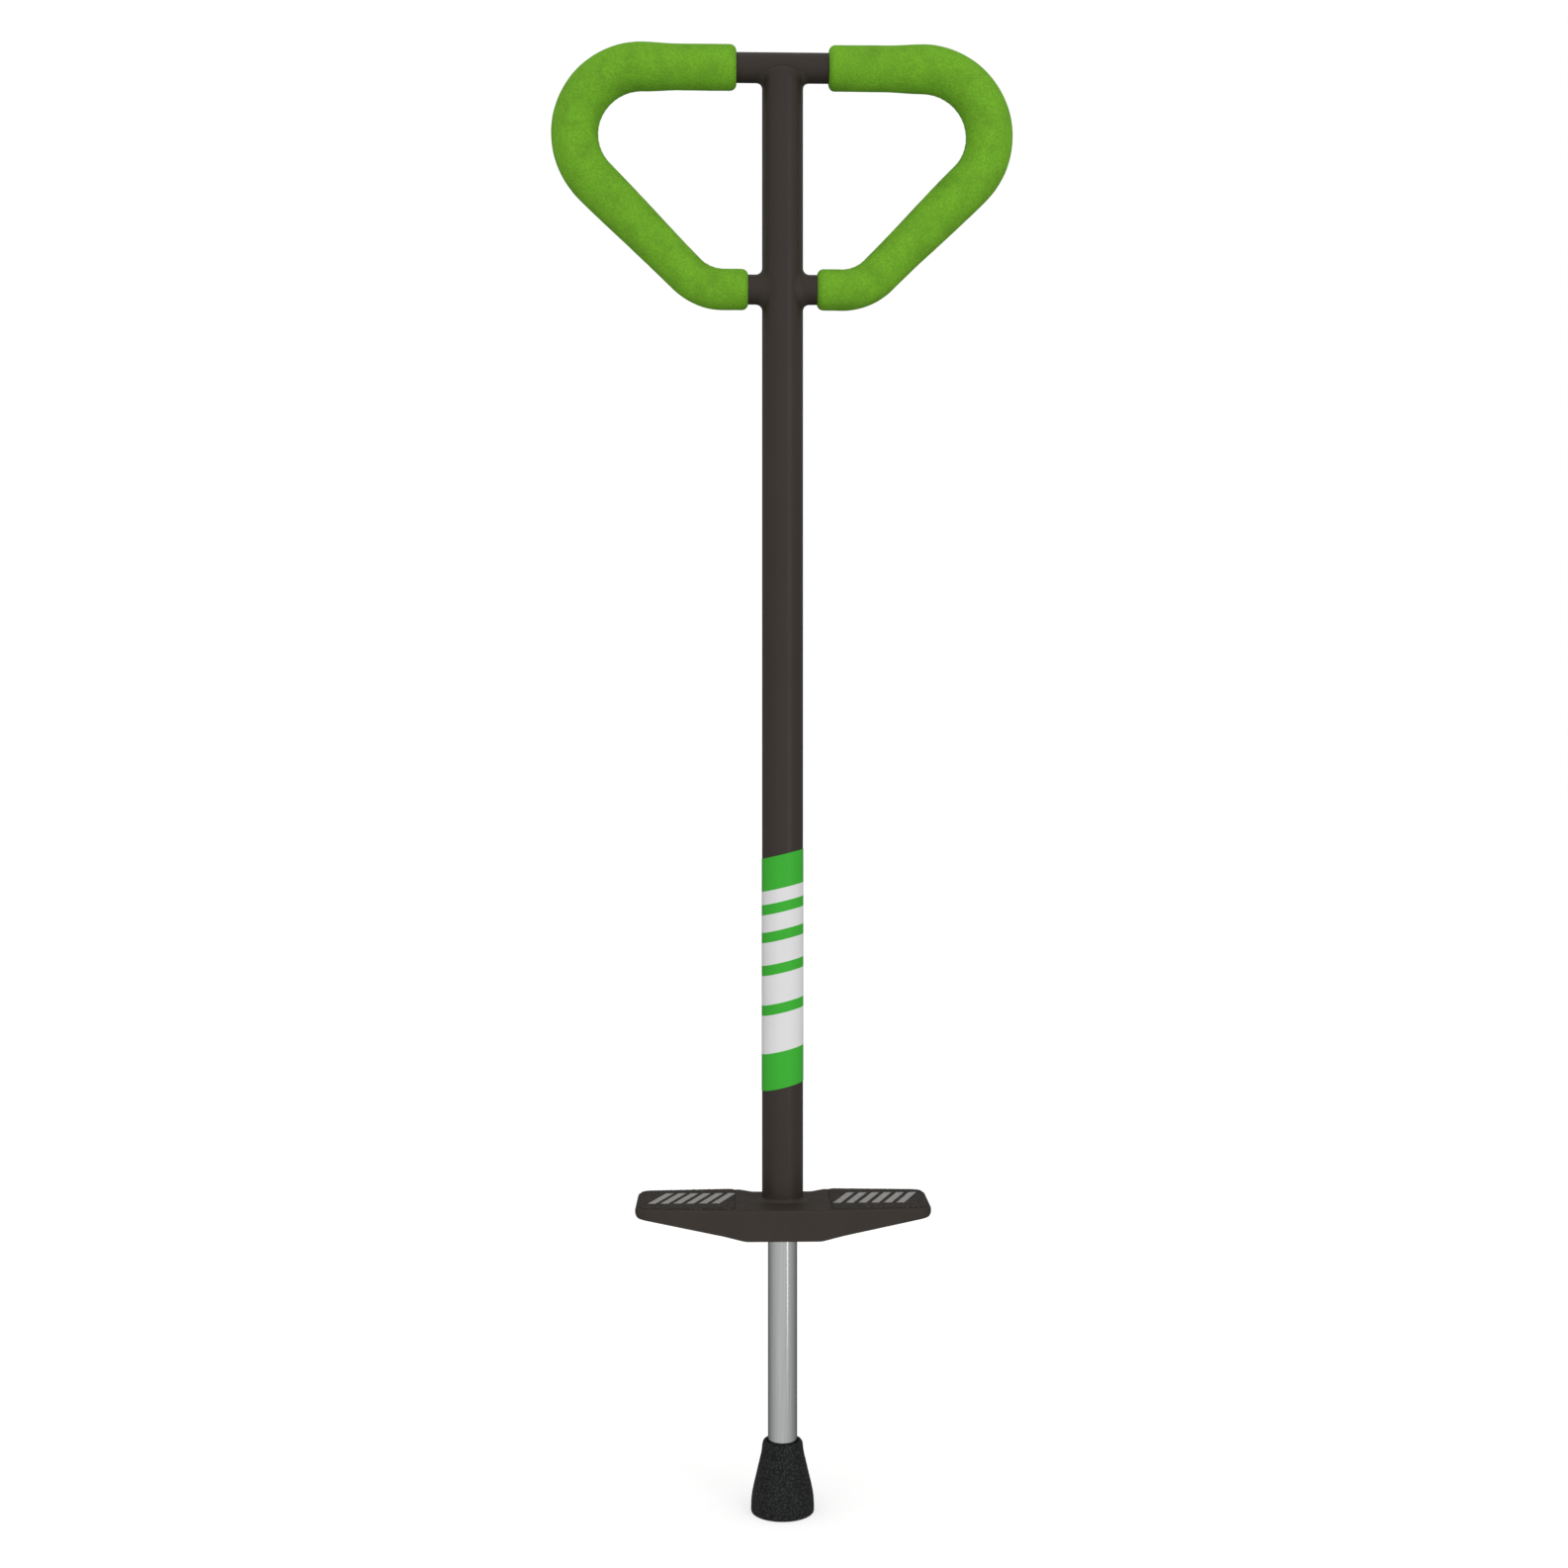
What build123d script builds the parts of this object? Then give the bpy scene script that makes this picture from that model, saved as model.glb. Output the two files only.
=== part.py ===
from build123d import *
import math
import os

# A spring pogo stick. Millimetres, +Z up, origin on the floor under the rubber tip, X along the
# handlebar and the footrest, -Y towards the rider's front view.

# --- Main tube and plunger shaft -------------------------------------------------------------
TUBE_OD = 28.0
TUBE_WALL = 1.5
TUBE_BOTTOM_Z = 189.6
SHAFT_OD = 20.0
SHAFT_WALL = 1.5
SHAFT_BOTTOM_Z = 12.0
SHAFT_LENGTH = 275.0

# --- Handlebar: one bent tube that makes both hand loops ---------------------------------------
BAR_OD = 20.0
BAR_WALL = 1.5
TOP_BAR_Z = 985.0
LOOP_HEIGHT = 151.5           # from the lower bar up to the top bar
HANDLE_REACH = 141.6          # half width, to the tube's centre line
LOWER_CORNER_X = 55.0         # where the diagonal's line meets the lower bar's
OUTER_BEND_R = 46.0
LOWER_BEND_R = 36.0
SADDLE_DEPTH = 3.0            # how far the main tube's coped top reaches up round the top bar
WELD_R = 4.5
WELD_LAND = 0.4               # the weld's toe stands this proud, so that no edge is a knife edge

# --- Foam grips --------------------------------------------------------------------------------
GRIP_TOP_R = 15.0
GRIP_BEND_R = 16.0
GRIP_DIAGONAL_R = 13.9
GRIP_LOW_R = 13.7
GRIP_TOP_GAP = 31.5           # from the centre plane to each grip's upper end
GRIP_LOW_GAP = 23.5           # and to its lower end
GRIP_TAPER = 26.0             # length over which the top straight swells into the outer bend
GRIP_END_ROUND = 3.0
FOAM_CLEARANCE = 0.2

# --- Decal band round the main tube --------------------------------------------------------------
DECAL_BOTTOM_Z = 290.5
DECAL_HEIGHT = 158.0
DECAL_RISE = 0.24             # slope of both slanted ends, rising towards +X
DECAL_THICKNESS = 0.25
DECAL_SEAM = 2.0              # gap left at the back where the band's ends meet

# --- Footrest: a pressed steel pan ---------------------------------------------------------------
FOOTREST_TOP_Z = 212.3
FOOTREST_HALF = 99.5
PAN_SHEET = 2.0
HUB_HALF_DEPTH = 27.0         # behind the tube; in front the hub is as deep as the wings
HUB_HALF_WIDTH = 20.0
SHOULDER_X = 29.0             # where the wings reach their full depth
WING_ROOT_HALF_DEPTH = 34.5
WING_END_HALF_DEPTH = 29.0
WING_CORNER_R = 9.0
WAIST_R = 5.0
HUB_SKIRT = 20.8              # depth of the skirt below the top face at the hub
HUB_SKIRT_HALF = 25.0
KNEE_SKIRT = 17.3             # at the knee beside the hub
KNEE_X = 40.0
END_SKIRT = 5.9               # at the outer ends
SKIRT_CORNER_R = 4.0
PAN_EDGE_R = 1.8
FOOTREST_WELD_R = 3.0
TREAD_THICKNESS = 1.0
TREAD_INSET = 2.0             # from the pan's edge
TREAD_SETBACK = 3.5           # from the shoulder to the pad's inner edge
TREAD_CORNER_R = 5.0

# --- Lower guide bush ----------------------------------------------------------------------------
BUSH_FLANGE = 3.0
BUSH_LENGTH = 60.4
RUNNING_CLEARANCE = 0.08
SCREW_D = 3.5
SCREW_HEAD_D = 7.0
SCREW_HEAD_H = 2.4
SCREW_HEIGHT = 13.4           # above the tube's lower end
SCREW_TIP_GAP = 0.7           # plastic left between the screw's tip and the bush's bore

# --- Rebound bumper, piston and spring ------------------------------------------------------------
BUMPER_LENGTH = 12.0
BUMPER_CLEARANCE = 1.0
PISTON_SKIRT = 25.0
PISTON_CAP = 3.0
SLIDE_CLEARANCE = 0.3
PISTON_PIN_D = 5.0
PISTON_PIN_RECESS = 1.2
SEAT_THICKNESS = 2.0
SPRING_WIRE = 4.5
SPRING_LENGTH = 300.0
SPRING_TURNS = 38
SPRING_CLEARANCE = 0.5
UPPER_SEAT_THICKNESS = 3.0
SEAT_HOLE_D = 8.0
STOP_PIN_D = 8.0

# --- Rubber tip ------------------------------------------------------------------------------------
TIP_HEIGHT = 48.6
TIP_FOOT_R = 21.6
TIP_FOOT_HEIGHT = 12.0
TIP_COLLAR_R = 14.3
TIP_COLLAR_HEIGHT = 8.0
TIP_COLLAR_DRAFT = 0.8
TIP_FLOOR = 10.0              # rubber under the washer
TIP_EDGE_R = 1.6
TIP_MOUTH_CHAMFER = 1.6
TIP_GROOVE_W = 2.0
TIP_GROOVE_DEPTH = 1.6
TIP_GROOVE_RADII = (7.0, 13.0)
TIP_WASHER_FIT = 0.1
PLUG_LENGTH = 10.0

# --- Sizes that follow from the ones above -----------------------------------------------------------
TUBE_R = TUBE_OD / 2
TUBE_ID_R = TUBE_R - TUBE_WALL
SHAFT_R = SHAFT_OD / 2
SHAFT_TOP_Z = SHAFT_BOTTOM_Z + SHAFT_LENGTH
BAR_R = BAR_OD / 2
LOWER_BAR_Z = TOP_BAR_Z - LOOP_HEIGHT
BUSH_TOP_Z = TUBE_BOTTOM_Z + BUSH_LENGTH
PISTON_BOTTOM_Z = SHAFT_TOP_Z - PISTON_SKIRT
PISTON_TOP_Z = SHAFT_TOP_Z + PISTON_CAP
PISTON_R = TUBE_ID_R - SLIDE_CLEARANCE
SPRING_BOTTOM_Z = PISTON_TOP_Z + SEAT_THICKNESS
SPRING_TOP_Z = SPRING_BOTTOM_Z + SPRING_LENGTH
STOP_PIN_Z = SPRING_TOP_Z + UPPER_SEAT_THICKNESS + STOP_PIN_D / 2

UPWARD = (Align.CENTER, Align.CENTER, Align.MIN)


def rod(radius, bottom, top):
    """An upright cylinder on the Z axis between two heights."""
    return Pos(0, 0, bottom) * Cylinder(radius, top - bottom, align=UPWARD)


def pipe(outer, inner, bottom, top):
    """An upright tube on the Z axis between two heights."""
    return rod(outer, bottom, top) - rod(inner, bottom - 1, top + 1)


def cross_rod(radius, half_length, height):
    """A cylinder along X, centred on the Z axis."""
    return Pos(0, 0, height) * Rot(0, 90, 0) * Cylinder(radius, 2 * half_length)


def turned(*points):
    """A solid of revolution about Z from an outline given as (radius, height) points."""
    outline = Polyline(*[(radius, 0, height) for radius, height in points], close=True)
    return revolve(make_face(outline), Axis.Z)


# --- Handlebar and what is welded to it ----------------------------------------------------------


class HandleLine:
    """The right half of the handlebar's centre line, in the XZ plane."""

    bend = (HANDLE_REACH - OUTER_BEND_R, TOP_BAR_Z - OUTER_BEND_R)
    run, climb = bend[0] - LOWER_CORNER_X, bend[1] - LOWER_BAR_Z
    # the diagonal leaves the lower corner as the tangent that passes outside the outer bend
    turn = math.atan2(climb, run) - math.asin(OUTER_BEND_R / math.hypot(run, climb))
    diagonal_top = (
        bend[0] + OUTER_BEND_R * math.sin(turn),
        bend[1] - OUTER_BEND_R * math.cos(turn),
    )
    tangent = LOWER_BEND_R * math.tan(turn / 2)
    diagonal_bottom = (
        LOWER_CORNER_X + tangent * math.cos(turn),
        LOWER_BAR_Z + tangent * math.sin(turn),
    )
    lower_bend_x = LOWER_CORNER_X - tangent


def at(point):
    """A point of the XZ plane as a 3-D point."""
    return (point[0], 0, point[1])


def outer_bend():
    """The arc from the top bar round to the diagonal."""
    line = HandleLine
    middle = (
        line.bend[0] + OUTER_BEND_R * math.cos(line.turn / 2),
        line.bend[1] + OUTER_BEND_R * math.sin(line.turn / 2),
    )
    return ThreePointArc(at((line.bend[0], TOP_BAR_Z)), at(middle), at(line.diagonal_top))


def lower_bend():
    """The arc from the diagonal to the lower bar."""
    line = HandleLine
    centre_z = LOWER_BAR_Z + LOWER_BEND_R
    middle = (
        line.lower_bend_x + LOWER_BEND_R * math.sin(line.turn / 2),
        centre_z - LOWER_BEND_R * math.cos(line.turn / 2),
    )
    end = (line.lower_bend_x, LOWER_BAR_Z)
    return ThreePointArc(at(line.diagonal_bottom), at(middle), at(end))


def half_handle(radius, top_start, low_end):
    """A round bar of one radius along the right half of the line, between two distances from X = 0."""
    line = HandleLine
    path = Wire(
        [
            Line(at((top_start, TOP_BAR_Z)), at((line.bend[0], TOP_BAR_Z))),
            outer_bend(),
            Line(at(line.diagonal_top), at(line.diagonal_bottom)),
            lower_bend(),
            Line(at((line.lower_bend_x, LOWER_BAR_Z)), at((low_end, LOWER_BAR_Z))),
        ]
    )
    section = Plane(origin=at((top_start, TOP_BAR_Z)), z_dir=(1, 0, 0)) * Circle(radius)
    return sweep(section, path=path)


def handlebar():
    """The bent tube, coped to the main tube at its two lower ends."""
    halves = []
    for radius in (BAR_R, BAR_R - BAR_WALL):
        half = half_handle(radius, 0, TUBE_R / 2)
        halves.append(half + mirror(half, about=Plane.YZ))
    tube = halves[0] - halves[1]
    return tube - rod(TUBE_R, LOWER_BAR_Z - BAR_OD, LOWER_BAR_Z + BAR_OD)


def main_tube():
    """The long upright tube, coped under the top bar, with its screw and stop-pin holes."""
    top = TOP_BAR_Z - BAR_R + SADDLE_DEPTH
    tube = pipe(TUBE_R, TUBE_ID_R, TUBE_BOTTOM_Z, top)
    tube -= cross_rod(BAR_R, TUBE_OD, TOP_BAR_Z)
    tube -= cross_rod(STOP_PIN_D / 2, TUBE_OD, STOP_PIN_Z)
    return tube - cross_rod(SCREW_D / 2, TUBE_OD, TUBE_BOTTOM_Z + SCREW_HEIGHT)


def side_weld():
    """The fillet bead where the lower bar meets the right side of the main tube."""
    tube_r = TUBE_R + WELD_LAND
    bar_r = BAR_R + WELD_LAND
    reach = tube_r + WELD_R + WELD_LAND
    bar = Pos(0, 0, LOWER_BAR_Z) * Rot(0, 90, 0) * Cylinder(bar_r, 2 * reach, align=UPWARD)
    stub = rod(tube_r, LOWER_BAR_Z - 2 * reach, LOWER_BAR_Z + 2 * reach) + bar
    saddle = stub.edges().filter_by(GeomType.BSPLINE)
    filled = fillet(saddle, WELD_R)
    ball_x = math.sqrt((tube_r + WELD_R) ** 2 - (bar_r + WELD_R) ** 2)
    toe_x = ball_x * tube_r / (tube_r + WELD_R) - WELD_LAND
    zone_r = bar_r + WELD_R + WELD_LAND
    zone = Rot(0, 90, 0) * Cylinder(zone_r, reach - toe_x, align=UPWARD)
    bead = filled & Pos(toe_x, 0, LOWER_BAR_Z) * zone
    bead -= rod(TUBE_R, LOWER_BAR_Z - 2 * reach, LOWER_BAR_Z + 2 * reach)
    return bead - cross_rod(BAR_R, 3 * reach, LOWER_BAR_Z)


def top_weld():
    """The bead between the main tube's coped top and the top bar, swept in on all sides."""
    top = TOP_BAR_Z - BAR_R + SADDLE_DEPTH
    tube_r = TUBE_R + WELD_LAND
    reach = tube_r + WELD_R
    under = TOP_BAR_Z - BAR_R - WELD_R
    flare = turned((0, under), (tube_r, under), (reach, TOP_BAR_Z - BAR_R), (reach, top), (0, top))
    cheek = turned((0, top), (tube_r, top), (BAR_R, top + WELD_R), (0, top + WELD_R))
    width = 2 * (BAR_R - WELD_LAND)
    below = Pos(0, 0, under) * Box(2 * reach, width, 2 * WELD_R, align=UPWARD)
    bead = (flare & below) + cheek + pipe(tube_r, TUBE_R, under, top)
    bead -= cross_rod(BAR_R, 2 * reach, TOP_BAR_Z)
    return bead - rod(TUBE_R, under - 1, top)


def handlebar_welds():
    """Three beads: one under the top bar and one at each lower end."""
    bead = side_weld()
    return Compound([top_weld(), bead, mirror(bead, about=Plane.YZ)])


def right_grip():
    """The foam sleeve over the right half of the handlebar, from its upper end to its lower end."""
    line = HandleLine
    bend_start = at((line.bend[0], TOP_BAR_Z))
    taper_x = line.bend[0] - GRIP_TAPER
    along_x = Plane(origin=at((GRIP_TOP_GAP, TOP_BAR_Z)), z_dir=(1, 0, 0))
    foam = along_x * Cylinder(GRIP_TOP_R, taper_x - GRIP_TOP_GAP, align=UPWARD)
    taper = Plane(origin=at((taper_x, TOP_BAR_Z)), z_dir=(1, 0, 0))
    foam += taper * Cone(GRIP_TOP_R, GRIP_BEND_R, GRIP_TAPER, align=UPWARD)
    bend_section = Plane(origin=bend_start, z_dir=(1, 0, 0)) * Circle(GRIP_BEND_R)
    foam += sweep(bend_section, path=outer_bend())
    top, bottom = Vector(at(line.diagonal_top)), Vector(at(line.diagonal_bottom))
    down = Plane(origin=top, z_dir=bottom - top)
    foam += down * Cone(GRIP_BEND_R, GRIP_DIAGONAL_R, (bottom - top).length, align=UPWARD)
    foam += sweep(Plane(origin=bottom, z_dir=bottom - top) * Circle(GRIP_DIAGONAL_R), path=lower_bend())
    inward = Plane(origin=at((line.lower_bend_x, LOWER_BAR_Z)), z_dir=(-1, 0, 0))
    low_run = line.lower_bend_x - GRIP_LOW_GAP
    foam += inward * Cone(GRIP_DIAGONAL_R, GRIP_LOW_R, low_run, align=UPWARD)
    ends = foam.edges().filter_by(GeomType.CIRCLE).sort_by(Axis.X)[:2]
    foam = fillet(ends, GRIP_END_ROUND)
    return foam - half_handle(BAR_R + FOAM_CLEARANCE, GRIP_TOP_GAP - 5, GRIP_LOW_GAP - 5)


def tube_decal():
    """A thin printed band wrapped round the main tube, with slanted ends and a seam at the back."""
    slant = math.degrees(math.atan(DECAL_RISE))
    half = DECAL_HEIGHT / 2
    slab = Box(4 * TUBE_OD, 4 * TUBE_OD, DECAL_HEIGHT * math.cos(math.radians(slant)))
    slab = Pos(0, 0, DECAL_BOTTOM_Z + half) * Rot(0, -slant, 0) * slab
    outer = TUBE_R + DECAL_THICKNESS
    band = pipe(outer, TUBE_R, DECAL_BOTTOM_Z - half, DECAL_BOTTOM_Z + 3 * half) & slab
    seam = Pos(0, TUBE_R, DECAL_BOTTOM_Z + half) * Box(DECAL_SEAM, TUBE_R, 4 * half)
    return band - seam


# --- Footrest ----------------------------------------------------------------------------------------


def pan_plan(inset):
    """The pan seen from above: straight in front, waisted behind, with every edge moved in by inset."""
    side = [
        (HUB_HALF_WIDTH, HUB_HALF_DEPTH),
        (SHOULDER_X, WING_ROOT_HALF_DEPTH),
        (FOOTREST_HALF, WING_END_HALF_DEPTH),
        (FOOTREST_HALF, -WING_END_HALF_DEPTH),
        (SHOULDER_X, -WING_ROOT_HALF_DEPTH),
    ]
    plan = make_face(Polyline(*side, *[(-x, y) for x, y in reversed(side)], close=True))
    plan = fillet([v for v in plan.vertices() if abs(v.X) > SHOULDER_X + 1], WING_CORNER_R)
    plan = fillet([v for v in plan.vertices() if abs(v.X) < SHOULDER_X + 1 and v.Y > 0], WAIST_R)
    return offset(plan, -inset) if inset else plan


def skirt_front():
    """The pan seen from the front: its skirt is deepest at the hub and shallow at the ends."""
    side = [
        (HUB_SKIRT_HALF, -HUB_SKIRT),
        (KNEE_X, -KNEE_SKIRT),
        (FOOTREST_HALF, -END_SKIRT),
    ]
    top = [(FOOTREST_HALF, 0), (-FOOTREST_HALF, 0)]
    points = side + top + [(-x, z) for x, z in reversed(side)]
    front = make_face(Polyline(*[(x, 0, z) for x, z in points], close=True))
    low_ends = [v for v in front.vertices() if abs(v.X) > KNEE_X + 1 and v.Z < -1]
    front = fillet(low_ends, SKIRT_CORNER_R)
    hub_ends = [v for v in front.vertices() if abs(v.X) < KNEE_X + 1]
    return fillet(hub_ends, 4 * SKIRT_CORNER_R)


def footrest():
    """The pressed pan: a top plate and a skirt all round, with a hole for the main tube."""
    depth = WING_ROOT_HALF_DEPTH
    block = extrude(pan_plan(0), amount=-HUB_SKIRT)
    block &= extrude(skirt_front(), amount=depth + 1, both=True)
    block = fillet(block.faces().sort_by(Axis.Z)[-1].edges(), PAN_EDGE_R)
    hollow = Pos(0, 0, -PAN_SHEET) * extrude(pan_plan(PAN_SHEET), amount=-HUB_SKIRT)
    pan = block - hollow - rod(TUBE_R + RUNNING_CLEARANCE, -HUB_SKIRT, 1)
    return Pos(0, 0, FOOTREST_TOP_Z) * pan


def footrest_weld():
    """The fillet bead round the main tube on top of the footrest."""
    inner, outer = TUBE_R, TUBE_R + FOOTREST_WELD_R
    low, high = FOOTREST_TOP_Z, FOOTREST_TOP_Z + FOOTREST_WELD_R
    land = WELD_LAND
    toe = (outer + land, 0, low + land)
    crest = (inner + land, 0, high + land)
    hollow_r = FOOTREST_WELD_R
    back = hollow_r * (1 - math.sin(math.radians(45)))
    waist = (inner + land + back, 0, low + land + back)
    outline = Wire(
        [
            Line((inner, 0, low), (outer + land, 0, low)),
            Line((outer + land, 0, low), toe),
            ThreePointArc(toe, waist, crest),
            Line(crest, (inner, 0, high + land)),
            Line((inner, 0, high + land), (inner, 0, low)),
        ]
    )
    return revolve(make_face(outline), Axis.Z)


def right_tread():
    """The grip pad stuck on the right wing of the footrest."""
    inner_x = SHOULDER_X + TREAD_SETBACK
    outboard = (Align.MIN, Align.CENTER)
    wing = Pos(inner_x, 0) * Rectangle(FOOTREST_HALF, 4 * WING_ROOT_HALF_DEPTH, align=outboard)
    pad = pan_plan(TREAD_INSET) & wing
    pad = fillet([v for v in pad.vertices() if v.X < inner_x + 0.1], TREAD_CORNER_R)
    return Pos(0, 0, FOOTREST_TOP_Z) * extrude(pad, amount=TREAD_THICKNESS)


# --- Lower guide bush --------------------------------------------------------------------------------


def lower_bush():
    """The plastic guide pressed into the main tube's lower end, flanged under it."""
    bore = SHAFT_R + RUNNING_CLEARANCE
    bush = turned(
        (bore, TUBE_BOTTOM_Z - BUSH_FLANGE),
        (TUBE_R, TUBE_BOTTOM_Z - BUSH_FLANGE),
        (TUBE_R, TUBE_BOTTOM_Z),
        (TUBE_ID_R, TUBE_BOTTOM_Z),
        (TUBE_ID_R, BUSH_TOP_Z),
        (bore, BUSH_TOP_Z),
    )
    height = TUBE_BOTTOM_Z + SCREW_HEIGHT
    holes = cross_rod(SCREW_D / 2, TUBE_OD, height) - cross_rod(SCREW_D, bore + SCREW_TIP_GAP, height)
    return bush - holes


def bush_screws():
    """Two self-tapping screws, one each side, through the main tube into the bush."""
    tip = SHAFT_R + RUNNING_CLEARANCE + SCREW_TIP_GAP
    shank = Cylinder(SCREW_D / 2, TUBE_R - tip, align=UPWARD)
    head_r = SCREW_HEAD_D / 2
    head = Cylinder(head_r, SCREW_HEAD_H, align=UPWARD)
    head = fillet(head.faces().sort_by(Axis.Z)[-1].edges(), 0.4 * SCREW_HEAD_H)
    slot_top = Pos(0, 0, SCREW_HEAD_H)
    for quarter_turn in (0, 90):
        head -= slot_top * Rot(0, 0, quarter_turn) * Box(head_r, 0.3 * head_r, SCREW_HEAD_H)
    screw = shank + Pos(0, 0, TUBE_R - tip) * seated(head)
    right = Plane(origin=(tip, 0, TUBE_BOTTOM_Z + SCREW_HEIGHT), z_dir=(1, 0, 0)) * screw
    return Compound([right, mirror(right, about=Plane.YZ)])


def seated(head):
    """A screw head whose underside follows the main tube's round wall."""
    return head - Pos(0, 0, -TUBE_R) * Rot(90, 0, 0) * Cylinder(TUBE_R, TUBE_OD)


# --- Shaft, piston and spring --------------------------------------------------------------------------


def piston_pin_height():
    """Height of the cross pin that holds the piston on the shaft."""
    return (PISTON_BOTTOM_Z + SHAFT_TOP_Z) / 2


def shaft():
    """The chromed plunger tube."""
    tube = pipe(SHAFT_R, SHAFT_R - SHAFT_WALL, SHAFT_BOTTOM_Z, SHAFT_TOP_Z)
    return tube - cross_rod(PISTON_PIN_D / 2, TUBE_OD, piston_pin_height())


def piston():
    """The plastic guide that caps the shaft's upper end inside the main tube."""
    body = rod(PISTON_R, PISTON_BOTTOM_Z, PISTON_TOP_Z) - rod(SHAFT_R, 0, SHAFT_TOP_Z)
    return body - cross_rod(PISTON_PIN_D / 2, TUBE_OD, piston_pin_height())


def piston_pin():
    """The roll pin through piston and shaft, shown as a plain pin."""
    return cross_rod(PISTON_PIN_D / 2, PISTON_R - PISTON_PIN_RECESS, piston_pin_height())


def rebound_bumper():
    """The rubber ring that stops the piston against the bush when the stick springs back."""
    outer = TUBE_ID_R - BUMPER_CLEARANCE
    return pipe(outer, SHAFT_R, PISTON_BOTTOM_Z - BUMPER_LENGTH, PISTON_BOTTOM_Z)


def lower_spring_seat():
    """The steel washer on which the spring turns freely on the piston."""
    return pipe(PISTON_R, SEAT_HOLE_D / 2, PISTON_TOP_Z, SPRING_BOTTOM_Z)


def upper_spring_seat():
    """The steel washer between the spring and the stop pin."""
    return pipe(PISTON_R, SEAT_HOLE_D / 2, SPRING_TOP_Z, SPRING_TOP_Z + UPPER_SEAT_THICKNESS)


def main_spring():
    """The long compression spring, with its ends ground flat."""
    coil_r = TUBE_ID_R - SPRING_CLEARANCE - SPRING_WIRE / 2
    pitch = SPRING_LENGTH / SPRING_TURNS
    centre_line = Helix(pitch, SPRING_LENGTH, coil_r)
    start = centre_line @ 0
    section = Plane(origin=start, z_dir=centre_line % 0) * Circle(SPRING_WIRE / 2)
    coil = sweep(section, path=centre_line, is_frenet=True)
    coil &= rod(TUBE_R, 0, SPRING_LENGTH)
    return Pos(0, 0, SPRING_BOTTOM_Z) * coil


def stop_pin():
    """The fixed cross pin above the spring, ground flush with the main tube's wall."""
    height = STOP_PIN_Z
    return cross_rod(STOP_PIN_D / 2, TUBE_OD, height) & rod(TUBE_R, height - TUBE_OD, height + TUBE_OD)


# --- Rubber tip ----------------------------------------------------------------------------------------


def tip():
    """The rubber foot: a collar on the shaft, a flared cone and a grooved sole."""
    collar_z = TIP_HEIGHT - TIP_COLLAR_HEIGHT
    body = turned(
        (0, 0),
        (TIP_FOOT_R, 0),
        (TIP_FOOT_R - TIP_COLLAR_DRAFT / 2, TIP_FOOT_HEIGHT),
        (TIP_COLLAR_R, collar_z),
        (TIP_COLLAR_R - TIP_COLLAR_DRAFT, TIP_HEIGHT),
        (0, TIP_HEIGHT),
    )
    rings = body.edges().filter_by(GeomType.CIRCLE).sort_by(Axis.Z)
    body = fillet(rings[1], TIP_FOOT_HEIGHT / 2)
    sole = body.edges().filter_by(GeomType.CIRCLE).sort_by(Axis.Z)[0]
    body = fillet(sole, TIP_EDGE_R)
    body -= rod(SHAFT_R, TIP_FLOOR, TIP_HEIGHT + 1)
    mouth_r = SHAFT_R + TIP_MOUTH_CHAMFER
    body -= turned(
        (0, TIP_HEIGHT - TIP_MOUTH_CHAMFER),
        (SHAFT_R, TIP_HEIGHT - TIP_MOUTH_CHAMFER),
        (mouth_r, TIP_HEIGHT),
        (0, TIP_HEIGHT),
    )
    for radius in TIP_GROOVE_RADII:
        body -= pipe(radius + TIP_GROOVE_W / 2, radius - TIP_GROOVE_W / 2, -1, TIP_GROOVE_DEPTH)
    return body


def tip_washer():
    """The steel disc that keeps the shaft from cutting through the rubber."""
    return rod(SHAFT_R - TIP_WASHER_FIT, TIP_FLOOR, SHAFT_BOTTOM_Z)


def shaft_plug():
    """The plug pressed into the shaft's lower end."""
    return rod(SHAFT_R - SHAFT_WALL, SHAFT_BOTTOM_Z, SHAFT_BOTTOM_Z + PLUG_LENGTH)


def build():
    """Every node by name."""
    grip, tread = right_grip(), right_tread()
    return {
        "main_tube": main_tube(),
        "handlebar": handlebar(),
        "handlebar_welds": handlebar_welds(),
        "left_grip": mirror(grip, about=Plane.YZ),
        "right_grip": grip,
        "tube_decal": tube_decal(),
        "footrest": footrest(),
        "footrest_weld": footrest_weld(),
        "left_tread": mirror(tread, about=Plane.YZ),
        "right_tread": tread,
        "lower_bush": lower_bush(),
        "bush_screws": bush_screws(),
        "stop_pin": stop_pin(),
        "upper_spring_seat": upper_spring_seat(),
        "main_spring": main_spring(),
        "lower_spring_seat": lower_spring_seat(),
        "shaft": shaft(),
        "piston": piston(),
        "piston_pin": piston_pin(),
        "rebound_bumper": rebound_bumper(),
        "shaft_plug": shaft_plug(),
        "tip_washer": tip_washer(),
        "tip": tip(),
    }


os.makedirs("parts", exist_ok=True)
for name, solid in build().items():
    export_step(solid, f"parts/{name}.step")
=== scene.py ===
"""The looks of a spring pogo stick, built round its CAD frame.

Foam grips, weld beads, the printed band, grip tape, the rubber foot and the spring are pieces of
their own. The steel and plastic parts keep their CAD shape and get a finish. Metres, +Z up.
"""

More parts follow.
